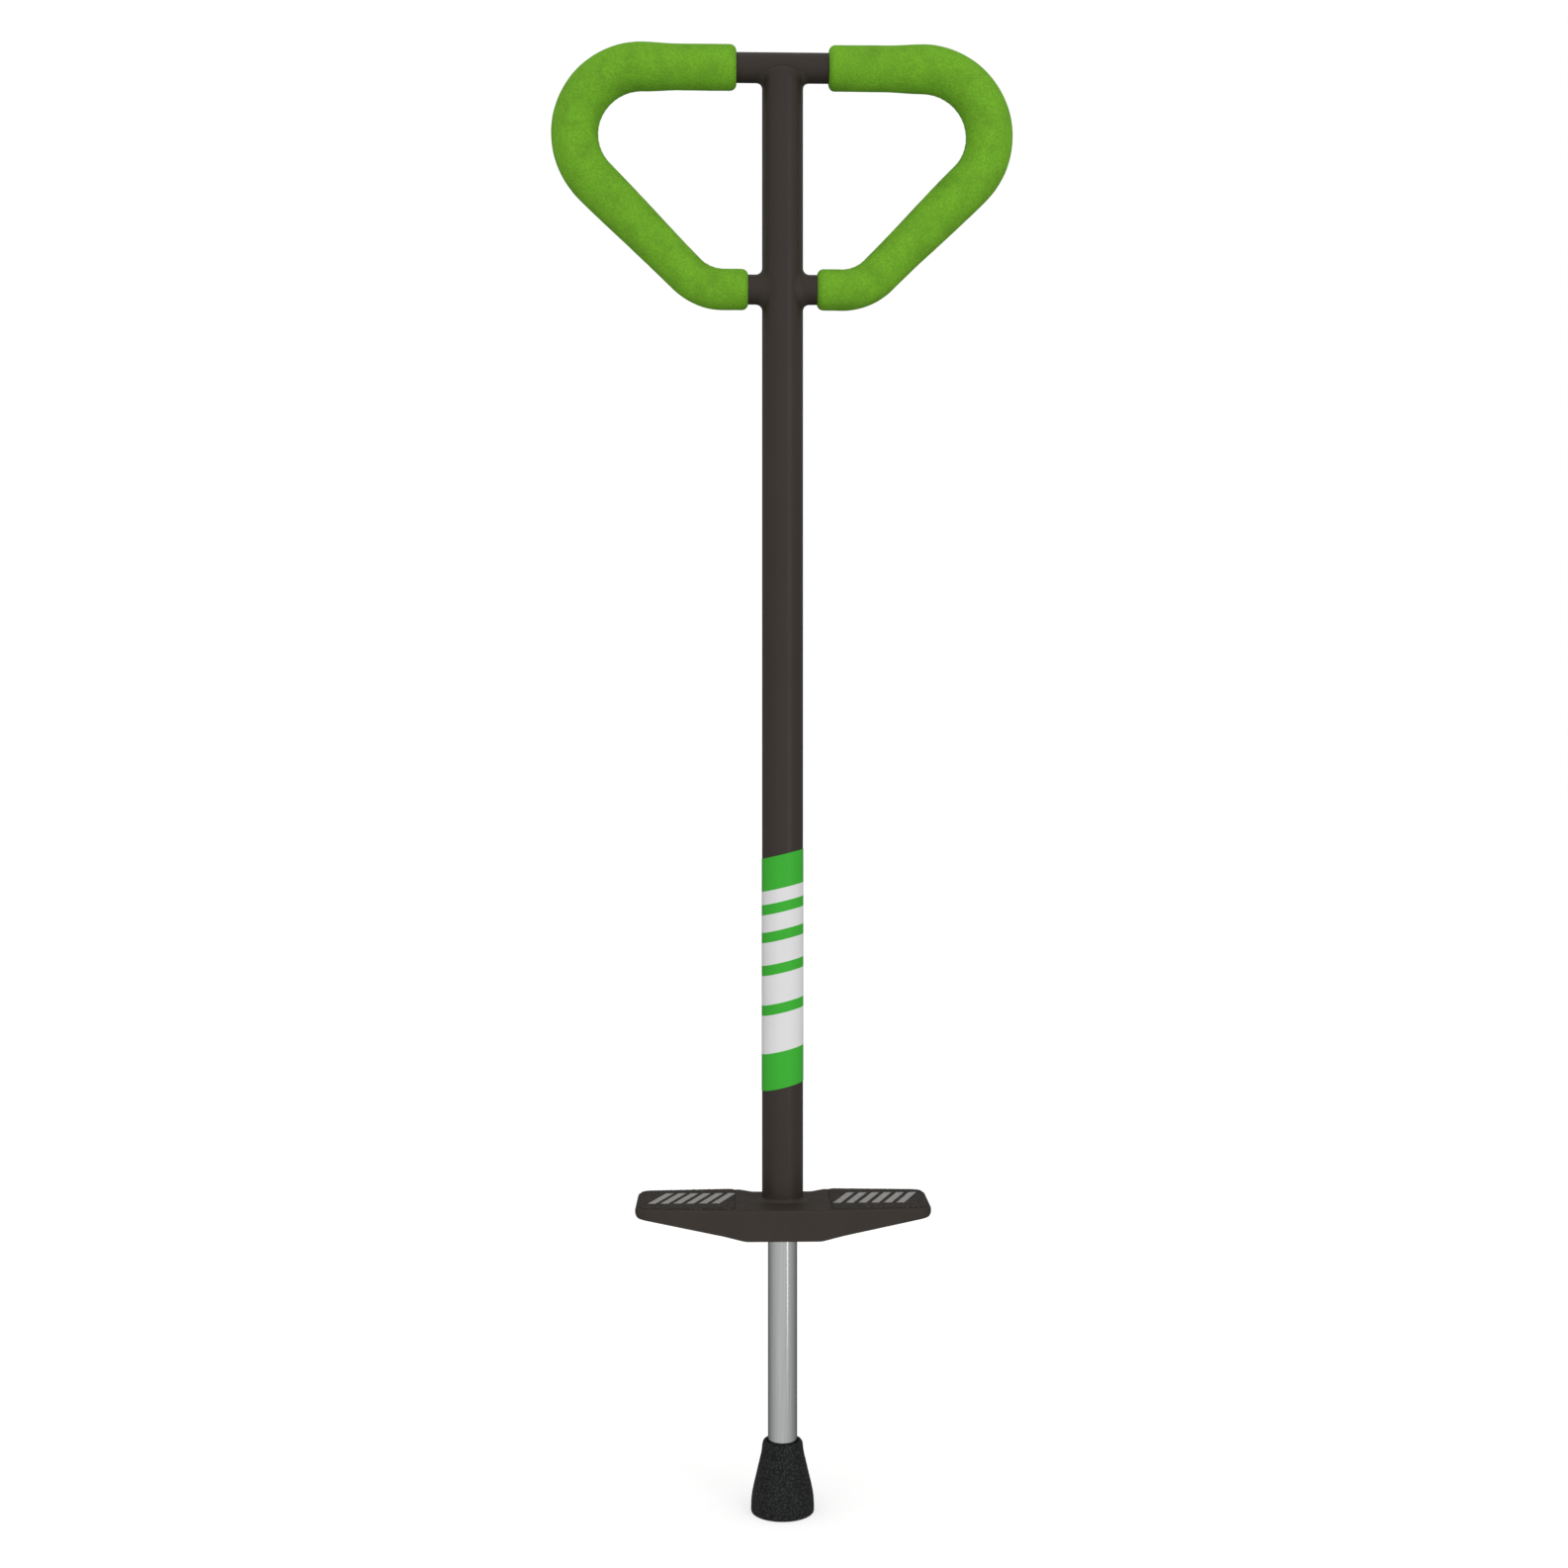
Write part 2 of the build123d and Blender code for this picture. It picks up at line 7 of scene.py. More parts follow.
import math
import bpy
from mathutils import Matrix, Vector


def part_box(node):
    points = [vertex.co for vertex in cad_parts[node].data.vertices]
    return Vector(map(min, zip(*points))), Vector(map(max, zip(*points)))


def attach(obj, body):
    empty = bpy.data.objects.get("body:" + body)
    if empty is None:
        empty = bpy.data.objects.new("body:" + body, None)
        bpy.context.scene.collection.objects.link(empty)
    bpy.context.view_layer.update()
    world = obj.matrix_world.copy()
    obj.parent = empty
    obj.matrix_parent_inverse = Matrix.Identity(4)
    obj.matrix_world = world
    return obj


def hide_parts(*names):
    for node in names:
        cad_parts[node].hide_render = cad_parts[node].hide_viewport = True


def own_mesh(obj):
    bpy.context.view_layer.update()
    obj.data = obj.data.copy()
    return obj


bl_info = {
    "name": "Pogo Stick",
    "version": (1, 0, 0),
    "blender": (4, 5, 0),
    "location": "3D View > Sidebar > Pogo Stick",
    "description": "Builds the soft, printed and welded pieces of a pogo stick and finishes its steel",
    "category": "Object",
}

import bmesh
import bpy
from bpy.props import FloatProperty, FloatVectorProperty, IntProperty, PointerProperty
from mathutils import Vector, noise

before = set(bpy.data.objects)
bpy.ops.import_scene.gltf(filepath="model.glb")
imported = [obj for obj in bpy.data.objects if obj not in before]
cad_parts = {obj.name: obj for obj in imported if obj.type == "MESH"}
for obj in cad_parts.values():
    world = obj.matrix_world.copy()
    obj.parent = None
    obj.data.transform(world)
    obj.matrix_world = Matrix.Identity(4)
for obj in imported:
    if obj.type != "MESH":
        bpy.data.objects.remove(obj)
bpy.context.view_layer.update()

MM = 0.001


# --- Properties ----------------------------------------------------------------------------------


def linear(red, green, blue):
    """A screen colour, each part from 0 to 255, as the linear colour that a shader takes."""
    parts = [part / 255 for part in (red, green, blue)]
    return tuple(p / 12.92 if p <= 0.04045 else ((p + 0.055) / 1.055) ** 2.4 for p in parts) + (1.0,)


def length(name, description, millimetres):
    """A length that a user may change."""
    return FloatProperty(
        name=name,
        description=description,
        default=millimetres * MM,
        min=0.0,
        precision=4,
        subtype="DISTANCE",
        unit="LENGTH",
    )


def colour(name, description, red, green, blue):
    """A colour that a user may change, given as it looks on a screen."""
    return FloatVectorProperty(
        name=name,
        description=description,
        default=linear(red, green, blue),
        size=4,
        min=0.0,
        max=1.0,
        subtype="COLOR",
    )


def share(name, description, default, highest=1.0):
    """A plain number, from 0 to the highest that it may be."""
    return FloatProperty(name=name, description=description, default=default, min=0.0, max=highest)


class PogoGripSettings(bpy.types.PropertyGroup):
    """The foam grips, and the bends of the bar that they sleeve."""

    outer_bend: length("Outer Bend", "Radius of the bar's big outer bend", 46.0)
    lower_bend: length("Lower Bend", "Radius of the bar's small lower bend", 36.0)
    lower_corner: length("Lower Corner", "From the middle to where diagonal and lower bar would meet", 55.0)
    top_radius: length("Top Radius", "Foam radius on the top bar", 15.0)
    bend_radius: length("Bend Radius", "Foam radius round the outer bend", 16.0)
    diagonal_radius: length("Diagonal Radius", "Foam radius at the foot of the diagonal", 13.9)
    low_radius: length("Low Radius", "Foam radius at the lower end", 13.7)
    top_gap: length("Top Gap", "From the middle to the foam's upper end", 31.5)
    taper: length("Taper", "Length over which the foam swells before the outer bend", 26.0)
    end_round: length("End Rounding", "Rounding of the foam's ends", 4.4)
    end_dip: length("End Dip", "How far the foam's cut end dips in at the bar", 1.6)
    unevenness: length("Unevenness", "How far the foam's skin wanders", 0.22)
    crease: length("Crease", "Depth of the soft creases inside the bends", 0.16)
    foam: colour("Foam", "Colour of the foam", 124, 190, 46)


class PogoWeldSettings(bpy.types.PropertyGroup):
    """The weld beads."""

    leg: length("Leg", "Width of a bead on each side of its joint", 4.6)
    footrest_leg: length("Footrest Leg", "Width of the bead at the footrest", 2.9)
    ripple: length("Ripple", "Height of the ripples that the welder's steps leave", 0.09)
    pitch: length("Pitch", "From one ripple to the next", 1.7)


class PogoPrintSettings(bpy.types.PropertyGroup):
    """The printed band and the grip tape."""

    band: colour("Band", "Ground colour of the band round the main tube", 62, 196, 50)
    bars: colour("Bars", "Colour of the bars on the band", 255, 255, 255)
    slope: share("Slope", "Rise of the band's ends across the tube, towards the right", 0.24)
    first_bar: length("First Bar", "From the band's lower end to the lowest bar", 25.0)
    bar: length("Bar", "Height of the lowest bar", 26.0)
    gap: length("Gap", "Space between two bars", 7.0)
    bar_count: IntProperty(name="Bars", description="Number of bars", default=5, min=0, max=12)
    bar_shrink: share("Shrink", "Height of each bar as a share of the one below it", 0.77)
    tape: colour("Tape", "Colour of the grip tape", 52, 46, 41)
    tape_bars: colour("Tape Bars", "Colour of the bars on the grip tape", 186, 184, 181)
    grit: length("Grit", "Height of the tape's grains", 0.28)


class PogoFinishSettings(bpy.types.PropertyGroup):
    """Paint, plating, rubber and plastic."""

    paint: colour("Paint", "Powder paint of the tubes", 58, 50, 44)
    footrest_paint: colour("Footrest Paint", "Powder paint of the footrest", 60, 53, 46)
    plating: colour("Plating", "Satin plating of the shaft", 205, 207, 206)
    rubber: colour("Rubber", "Rubber of the foot", 27, 29, 28)
    plastic: colour("Plastic", "Moulded plastic of the bush and the piston", 30, 29, 28)
    parting_line: length("Parting Line", "Height of the seam that the foot's mould leaves", 0.18)


class PogoStageSettings(bpy.types.PropertyGroup):
    """Camera and light."""

    eye_height: length("Eye Height", "Height of the camera", 496.0)
    distance: length("Distance", "From the stick to the camera", 1300.0)
    side: length("Side", "How far the camera stands to the right", 1.0)
    turn: FloatProperty(
        name="Turn",
        description="How far the camera is walked round to the right",
        default=math.radians(-1.5),
        subtype="ANGLE",
        unit="ROTATION",
    )
    lens: FloatProperty(
        name="Lens", description="Focal length in millimetres", default=43.7, min=10.0, unit="CAMERA"
    )
    key: share("Key", "Power of the tall soft light on the right, in watts", 2.2, highest=500.0)
    front: share("Front", "Brightness of the studio's bright side, in front and above", 0.84, highest=10.0)
    back: share("Back", "Brightness of the studio's dim side, behind and below", 0.10, highest=10.0)


# --- Mesh work -----------------------------------------------------------------------------------


def skin(shape, rings, closed=False):
    """Faces between each ring of points and the next. closed joins the last ring to the first."""
    rows = [[shape.verts.new(point) for point in ring] for ring in rings]
    pairs = list(zip(rows, rows[1:]))
    if closed:
        pairs.append((rows[-1], rows[0]))
    for near, far in pairs:
        for k in range(len(near)):
            after = (k + 1) % len(near)
            shape.faces.new((near[k], near[after], far[after], far[k]))
    return rows


def circle(centre, across, up, radius, count):
    """The points of a circle that lies in the plane of two unit directions."""
    angles = [math.tau * k / count for k in range(count)]
    return [centre + radius * (math.cos(a) * across + math.sin(a) * up) for a in angles]


def turned(shape, outline, count):
    """A closed surface of revolution about Z from (radius, height) points that start and end on the axis."""
    out, sideways = Vector((1, 0, 0)), Vector((0, 1, 0))
    inner = outline[1:-1]
    rows = skin(shape, [circle(Vector((0, 0, z)), out, sideways, r, count) for r, z in inner])
    for row, (_, height) in ((rows[0], outline[0]), (rows[-1], outline[-1])):
        pole = shape.verts.new((0, 0, height))
        for k in range(count):
            shape.faces.new((row[k], row[(k + 1) % count], pole))
    return rows


def add_piece(name, shape, body, finishes, stands_for=(), sharp=50.0):
    """Turns a bmesh into a named piece that rides on a body and stands for CAD nodes."""
    bmesh.ops.recalc_face_normals(shape, faces=shape.faces)
    mesh = bpy.data.meshes.new(name)
    shape.to_mesh(mesh)
    shape.free()
    mesh.shade_smooth()
    mesh.set_sharp_from_angle(angle=math.radians(sharp))
    for finish in finishes:
        mesh.materials.append(finish)
    piece = bpy.data.objects.new(name, mesh)
    bpy.context.scene.collection.objects.link(piece)
    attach(piece, body)
    if stands_for:
        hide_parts(*stands_for)
    return piece


def wander(point, size, seed=0.0):
    """Smooth noise from about -1 to 1 whose lumps are about as large as size."""
    return noise.noise(point / size + Vector((seed, 2 * seed, 3 * seed)))


def smooth_step(low, high, value):
    """0 below low, 1 above high and a smooth rise between."""
    t = min(1.0, max(0.0, (value - low) / (high - low)))
    return t * t * (3 - 2 * t)


# --- Material work -------------------------------------------------------------------------------


def add_node(tree, kind, inputs=None, **settings):
    """A shader node with its settings, and its inputs set to a value or linked to a socket."""
    made = tree.nodes.new("ShaderNode" + kind)
    for key, value in settings.items():
        setattr(made, key, value)
    for socket, value in (inputs or {}).items():
        if isinstance(value, bpy.types.NodeSocket):
            tree.links.new(value, made.inputs[socket])
        else:
            made.inputs[socket].default_value = value
    return made


def new_finish(name, **constants):
    """A material, its node tree and its shader, with constants set on the shader's own sockets."""
    finish = bpy.data.materials.new(name)
    finish.use_nodes = True
    tree = finish.node_tree
    shader = tree.nodes["Principled BSDF"]
    for socket, value in constants.items():
        shader.inputs[socket.replace("_", " ")].default_value = value
    return finish, tree, shader


def grain(tree, size, detail=2.0, stretch=(1, 1, 1)):
    """A noise factor in the piece's own space, with features about as large as size."""
    place = add_node(tree, "TexCoord").outputs["Object"]
    scaled = add_node(tree, "Mapping", {"Vector": place, "Scale": stretch}).outputs["Vector"]
    return add_node(tree, "TexNoise", {"Vector": scaled, "Scale": 1 / size, "Detail": detail}).outputs["Fac"]


def cells(tree, size, feature="F1", output="Distance"):
    """A cell pattern in the piece's own space, with cells about as large as size."""
    place = add_node(tree, "TexCoord").outputs["Object"]
    return add_node(tree, "TexVoronoi", {"Vector": place, "Scale": 1 / size}, feature=feature).outputs[output]


def ranged(tree, factor, low, high, start=0.3, end=0.7):
    """A number that goes from low to high as the factor goes from start to end."""
    inputs = {"Value": factor, "From Min": start, "From Max": end, "To Min": low, "To Max": high}
    return add_node(tree, "MapRange", inputs).outputs["Result"]


def tinted(tree, factor, *stops):
    """A colour picked by a factor from (position, colour) stops."""
    ramp = add_node(tree, "ValToRGB", {"Fac": factor})
    elements = ramp.color_ramp.elements
    while len(elements) < len(stops):
        elements.new(0.5)
    for element, (position, shade) in zip(elements, stops):
        element.position = position
        element.color = shade
    return ramp.outputs["Color"]


def mixed(tree, factor, under, over):
    """Two colours mixed by a factor."""
    made = add_node(tree, "Mix", {"Factor": factor}, data_type="RGBA")
    tree.links.new(under, made.inputs["A"])
    tree.links.new(over, made.inputs["B"])
    return made.outputs["Result"]


def math_node(tree, operation, first, second=0.0):
    """One sum in a node tree."""
    return add_node(tree, "Math", {0: first, 1: second}, operation=operation).outputs["Value"]


def bumped(tree, shader, *layers):
    """Bump on a shader from (height factor, depth in metres) layers, the last on top."""
    normal = None
    for height, depth in layers:
        bump = add_node(tree, "Bump", {"Height": height, "Distance": depth, "Strength": 1.0})
        if normal:
            tree.links.new(normal, bump.inputs["Normal"])
        normal = bump.outputs["Normal"]
    tree.links.new(normal, shader.inputs["Normal"])


def scaled(shade, factor):
    """A colour made lighter or darker."""
    return tuple(min(1.0, part * factor) for part in shade[:3]) + (1.0,)


# --- Finishes ------------------------------------------------------------------------------------


def paint_finish(name, paint, roughness, peel):
    """Powder paint: faint cloudiness, orange peel and a few dull rub marks."""
    finish, tree, shader = new_finish(name, IOR=1.5, Specular_IOR_Level=0.3)
    cloud = grain(tree, 35 * MM, detail=4.0, stretch=(1, 1, 0.4))
    tone = tinted(tree, cloud, (0.3, scaled(paint, 0.93)), (0.7, scaled(paint, 1.07)))
    rub = grain(tree, 7 * MM, detail=6.0, stretch=(1, 1, 0.25))
    marks = ranged(tree, rub, 0.0, 0.35, start=0.62, end=0.8)
    dull = tinted(tree, rub, (0.0, scaled(paint, 1.5)), (1.0, scaled(paint, 1.6)))
    tree.links.new(mixed(tree, marks, tone, dull), shader.inputs["Base Color"])
    skin_grain = grain(tree, 1.6 * MM, detail=1.0)
    tree.links.new(ranged(tree, rub, roughness - 0.05, roughness + 0.08), shader.inputs["Roughness"])
    bumped(tree, shader, (skin_grain, peel), (grain(tree, 0.35 * MM), peel * 0.25))
    return finish


def plating_finish(name, plating):
    """Satin plating: drawn lines along the shaft, faint haze, and a roughness that follows both."""
    finish, tree, shader = new_finish(name, Metallic=1.0)
    drawn = grain(tree, 0.5 * MM, detail=3.0, stretch=(1, 1, 0.008))
    haze = grain(tree, 18 * MM, detail=3.0, stretch=(1, 1, 0.35))
    tone = tinted(tree, haze, (0.3, scaled(plating, 0.92)), (0.7, scaled(plating, 1.0)))
    line_tone = tinted(tree, drawn, (0.3, scaled(plating, 0.76)), (0.7, scaled(plating, 1.08)))
    tree.links.new(mixed(tree, ranged(tree, haze, 0.35, 0.6), tone, line_tone), shader.inputs["Base Color"])
    wear = math_node(tree, "ADD", ranged(tree, drawn, 0.0, 0.08), ranged(tree, haze, 0.13, 0.19))
    tree.links.new(wear, shader.inputs["Roughness"])
    bumped(tree, shader, (drawn, 0.004 * MM))
    return finish


def steel_finish(name, shade, roughness, spangle):
    """Bare or zinc plated steel with a mottled spangle."""
    finish, tree, shader = new_finish(name, Metallic=1.0)
    patches = cells(tree, spangle, output="Color")
    tone = tinted(tree, patches, (0.0, scaled(shade, 0.8)), (1.0, scaled(shade, 1.1)))
    tree.links.new(tone, shader.inputs["Base Color"])
    fine = grain(tree, 0.6 * MM, detail=4.0)
    tree.links.new(ranged(tree, fine, roughness - 0.07, roughness + 0.1), shader.inputs["Roughness"])
    bumped(tree, shader, (fine, 0.01 * MM))
    return finish


def foam_finish(name, foam):
    """Closed-cell foam: a mottled, slightly fuzzy matte skin with fine open pores."""
    finish, tree, shader = new_finish(name, IOR=1.4, Specular_IOR_Level=0.3)
    cloud = grain(tree, 14 * MM, detail=5.0)
    tone = tinted(tree, cloud, (0.3, scaled(foam, 0.8)), (0.5, foam), (0.72, scaled(foam, 1.14)))
    fuzz = grain(tree, 1.5 * MM, detail=5.0)
    fuzzy = tinted(tree, fuzz, (0.32, scaled(foam, 0.55)), (0.5, foam), (0.68, scaled(foam, 1.45)))
    tree.links.new(mixed(tree, ranged(tree, cloud, 0.22, 0.4), tone, fuzzy), shader.inputs["Base Color"])
    pores = cells(tree, 0.75 * MM)
    tree.links.new(ranged(tree, cloud, 0.78, 0.92), shader.inputs["Roughness"])
    bumped(tree, shader, (fuzz, 0.16 * MM), (pores, 0.09 * MM))
    return finish


def film_finish(name, shade):
    """Printed vinyl film: even and smooth, with a faint ripple from being pressed down."""
    finish, tree, shader = new_finish(name, IOR=1.5, Specular_IOR_Level=0.3)
    cloud = grain(tree, 20 * MM, detail=3.0)
    tone = tinted(tree, cloud, (0.3, scaled(shade, 0.97)), (0.7, scaled(shade, 1.03)))
    tree.links.new(tone, shader.inputs["Base Color"])
    tree.links.new(ranged(tree, grain(tree, 4 * MM, detail=4.0), 0.36, 0.48), shader.inputs["Roughness"])
    bumped(tree, shader, (grain(tree, 9 * MM), 0.06 * MM), (grain(tree, 0.5 * MM), 0.008 * MM))
    return finish


def rubber_finish(name, rubber):
    """Moulded rubber: a dull, mottled grain."""
    finish, tree, shader = new_finish(name, IOR=1.45, Specular_IOR_Level=0.3)
    fine = grain(tree, 1.2 * MM, detail=4.0)
    coarse = grain(tree, 6 * MM, detail=3.0)
    pit, speck = scaled(rubber, 0.1), scaled(rubber, 3.8)
    tone = tinted(tree, fine, (0.43, pit), (0.51, scaled(rubber, 0.7)), (0.6, speck))
    dust = tinted(tree, coarse, (0.3, scaled(rubber, 0.8)), (0.7, scaled(rubber, 1.35)))
    tree.links.new(mixed(tree, ranged(tree, coarse, 0.05, 0.3), tone, dust), shader.inputs["Base Color"])
    tree.links.new(ranged(tree, fine, 0.5, 0.75), shader.inputs["Roughness"])
    bumped(tree, shader, (coarse, 0.12 * MM), (fine, 0.16 * MM))
    return finish


def plastic_finish(name, shade):
    """Moulded plastic: a fine even grain with faint flow marks."""
    finish, tree, shader = new_finish(name, IOR=1.5)
    flow = grain(tree, 9 * MM, detail=3.0, stretch=(1, 1, 0.3))
    tone = tinted(tree, flow, (0.3, scaled(shade, 0.85)), (0.7, scaled(shade, 1.2)))
    tree.links.new(tone, shader.inputs["Base Color"])
    fine = grain(tree, 0.4 * MM)
    tree.links.new(ranged(tree, fine, 0.38, 0.52), shader.inputs["Roughness"])
    bumped(tree, shader, (fine, 0.015 * MM))
    return finish


def bar_mask(tree, start, pitch, duty, count, slant, middle, half_depth):
    """1 inside a row of slanted bars that step along X, 0 between them."""
    place = add_node(tree, "TexCoord").outputs["Object"]
    axes = add_node(tree, "SeparateXYZ", {"Vector": place}).outputs
    leaned = math_node(tree, "SUBTRACT", axes["X"], math_node(tree, "MULTIPLY", axes["Y"], slant))
    steps = math_node(tree, "DIVIDE", math_node(tree, "SUBTRACT", leaned, start), pitch)
    inside = math_node(tree, "LESS_THAN", math_node(tree, "FRACT", steps), duty)
    after = math_node(tree, "GREATER_THAN", steps, 0.0)
    before = math_node(tree, "LESS_THAN", steps, float(count))
    from_middle = math_node(tree, "ABSOLUTE", math_node(tree, "SUBTRACT", axes["Y"], middle))
    deep = math_node(tree, "LESS_THAN", from_middle, half_depth)
    for part in (after, before, deep):
        inside = math_node(tree, "MULTIPLY", inside, part)
    return inside


def tape_finish(name, tape, print_shade, mask_of):
    """Grip tape: dark grit whose grains vary in tone, the brightest painted as glints, and bars printed over
    it.
    """
    finish, tree, shader = new_finish(name, IOR=1.5)
    facets = cells(tree, 0.7 * MM, output="Color")
    # Grain tone varies at random; the brightest grains are painted glints standing in for light off the
    # grains' facets.
    grit = tinted(tree, facets, (0.2, scaled(tape, 0.35)), (0.6, tape), (0.95, scaled(tape, 2.6)))
    ink = tinted(tree, facets, (0.0, scaled(print_shade, 0.72)), (0.7, print_shade))
    tree.links.new(mixed(tree, mask_of(tree), grit, ink), shader.inputs["Base Color"])
    tree.links.new(ranged(tree, grain(tree, 0.5 * MM), 0.6, 0.85), shader.inputs["Roughness"])
    bumped(tree, shader, (cells(tree, 0.6 * MM), 0.12 * MM))
    return finish


# --- Grips ---------------------------------------------------------------------------------------


class HandleLine:
    """The right half of the handlebar's centre line, walked outwards from the middle of the top bar."""

    def __init__(self, settings):
        low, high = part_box("handlebar")
        self.bar_radius = high.y
        self.top = high.z - self.bar_radius
        self.low = low.z + self.bar_radius
        outer, lower = settings.outer_bend, settings.lower_bend
        bend = (high.x - self.bar_radius - outer, self.top - outer)
        run, climb = bend[0] - settings.lower_corner, bend[1] - self.low
        slope = math.atan2(climb, run) - math.asin(outer / math.hypot(run, climb))
        tangent = lower * math.tan(slope / 2)
        diagonal = math.sqrt(run * run + climb * climb - outer * outer) - tangent
        low_straight = settings.lower_corner - tangent
        self.bends = (bend[0], bend[0] + outer * (math.pi - slope))
        self.low_bend = (self.bends[1] + diagonal, self.bends[1] + diagonal + lower * slope)
        self.length = self.low_bend[1] + low_straight
        runs = [(bend[0], 0.0), (outer * (math.pi - slope), outer), (diagonal, 0.0)]
        runs += [(lower * slope, lower), (low_straight, 0.0)]
        self.stretches = []
        start, heading = Vector((0, 0, self.top)), 0.0
        for reach, radius in runs:
            self.stretches.append((reach, start, heading, radius))
            start = self.along(start, heading, radius, reach)[0]
            heading += reach / radius if radius else 0.0

    @staticmethod
    def along(start, heading, radius, distance):
        """Where a straight or an arc has got to, and the outward direction there."""
        outward = Vector((math.sin(heading), 0, math.cos(heading)))
        if not radius:
            return start + distance * Vector((math.cos(heading), 0, -math.sin(heading))), outward
        turned_to = heading + distance / radius
        arrived = Vector((math.sin(turned_to), 0, math.cos(turned_to)))
        return start + radius * (arrived - outward), arrived

    def place(self, distance):
        """The point at a distance along the line, and the direction away from the bends' centres."""
        for reach, start, heading, radius in self.stretches:
            if distance <= reach:
                break
            distance -= reach
        else:
            distance += reach
        return self.along(start, heading, radius, distance)


def between(distance, stations):
    """A value read from (distance, value) stations, eased from one to the next."""
    for (near, low), (far, high) in zip(stations, stations[1:]):
        if distance <= far:
            return low + (high - low) * smooth_step(near, far, distance)
    return stations[-1][1]


def grip_outline(line, settings, start, end):
    """The foam sleeve's cut outline as (distance along the bar, radius, is skin) all the way round."""
    stations = [
        (line.bends[0] - settings.taper, settings.top_radius),
        (line.bends[0], settings.bend_radius),
        (line.bends[1], settings.bend_radius),
        (line.low_bend[0], settings.diagonal_radius),
        (end, settings.low_radius),
    ]
    bore = line.bar_radius + 0.2 * MM
    step, round_off, dip = 1.4 * MM, settings.end_round, settings.end_dip
    count = round((end - start - 2 * round_off) / step)
    skin_line = [start + round_off + (end - start - 2 * round_off) * k / count for k in range(count + 1)]
    outline = []
    for k in range(6):
        rise = k / 6
        crest = between(start, stations) - round_off
        outline.append((start + dip * (1 - rise) ** 2, bore + (crest - bore) * rise, True))
    for k in range(9):
        turn = math.pi / 2 * k / 9
        radius = between(start, stations) - round_off * (1 - math.sin(turn))
        outline.append((start + round_off * (1 - math.cos(turn)), radius, True))
    outline += [(distance, between(distance, stations), True) for distance in skin_line]
    for k in range(8, -1, -1):
        turn = math.pi / 2 * k / 9
        radius = between(end, stations) - round_off * (1 - math.sin(turn))
        outline.append((end - round_off * (1 - math.cos(turn)), radius, True))
    for k in range(5, -1, -1):
        rise = k / 6
        crest = between(end, stations) - round_off
        outline.append((end - dip * (1 - rise) ** 2, bore + (crest - bore) * rise, True))
    inner = [d for d in skin_line[::4] if start + 2 * dip < d < end - 2 * dip]
    outline += [(distance, bore, False) for distance in reversed(inner)]
    return outline


def grip_piece(name, side, stands_for, settings, finish):
    """One foam grip: side is 1 on the right and -1 on the left."""
    line = HandleLine(settings)
    start = settings.top_gap
    end = line.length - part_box("right_grip")[0].x
    sideways = Vector((0, 1, 0))
    around, fold_step = 84, 1.05 * MM
    rings = []
    for distance, radius, is_skin in grip_outline(line, settings, start, end):
        centre, outward = line.place(distance)
        ring = []
        in_bend = smooth_step(line.bends[0], line.bends[0] + 20 * MM, distance)
        in_bend *= 1 - smooth_step(line.bends[1] - 20 * MM, line.bends[1], distance)
        near_low = smooth_step(line.low_bend[0] - 6 * MM, line.low_bend[0] + 8 * MM, distance)
        near_low *= 1 - smooth_step(line.low_bend[1] - 8 * MM, line.low_bend[1] + 6 * MM, distance)
        for k in range(around):
            angle = math.tau * k / around
            direction = math.cos(angle) * outward + math.sin(angle) * sideways
            reach = radius
            if is_skin:
                point = centre + radius * direction
                reach += settings.unevenness * 0.7 * wander(point, 26 * MM, seed=side)
                reach += settings.unevenness * 0.3 * wander(point, 5 * MM, seed=2 * side)
                inside = max(0.0, -math.cos(angle)) ** 2 * max(in_bend, near_low)
                fold = math.sin(distance / fold_step + 2.2 * wander(point, 9 * MM, seed=3.0))
                reach -= settings.crease * inside * (0.5 + 0.5 * fold)
            point = centre + reach * direction
            ring.append((side * point.x, point.y, point.z))
        rings.append(ring)
    shape = bmesh.new()
    skin(shape, rings, closed=True)
    piece = add_piece(name, shape, "frame", [finish], [stands_for])
    return piece


class POGO_OT_make_grips(bpy.types.Operator):
    """Sleeve both halves of the handlebar in foam"""

    bl_idname = "pogo.make_grips"
    bl_label = "Foam Grips"

    def execute(self, context):
        settings = context.scene.pogo_grips
        finish = foam_finish("green_foam", tuple(settings.foam))
        grip_piece("right_foam_grip", 1, "right_grip", settings, finish)
        grip_piece("left_foam_grip", -1, "left_grip", settings, finish)
        return {"FINISHED"}


# --- Welds ---------------------------------------------------------------------------------------


def weld_bead(shape, corners, settings):
    """A closed bead from (toe, root, other toe) corners, with crescent ripples along its face."""
    across, fullness = 9, 0.10
    middles = [(toe + other) / 2 for toe, root, other in corners]
    run = [0.0]
    for here, after in zip(middles, middles[1:] + middles[:1]):
        run.append(run[-1] + (after - here).length)
    ripples = round(run[-1] / settings.pitch)
    rings = []
    for (toe, root, other), distance in zip(corners, run):
        steps = ripples * distance / run[-1]
        face_out = ((toe + other) / 2 - root).normalized()
        control = root + fullness * ((toe + other) / 2 - root)
        ring = [root - 0.3 * MM * face_out]
        for k in range(across + 1):
            t = k / across
            point = (1 - t) ** 2 * toe + 2 * t * (1 - t) * control + t * t * other
            crescent = steps + 0.55 * (2 * t - 1) ** 2
            wave = abs(math.sin(math.pi * crescent)) - 0.55
            lift = settings.ripple * wave * math.sin(math.pi * t)
            lift += 0.12 * MM * wander(point, 4 * MM) * math.sin(math.pi * t)
            ring.append(point + lift * face_out)
        rings.append(ring)
    skin(shape, rings, closed=True)


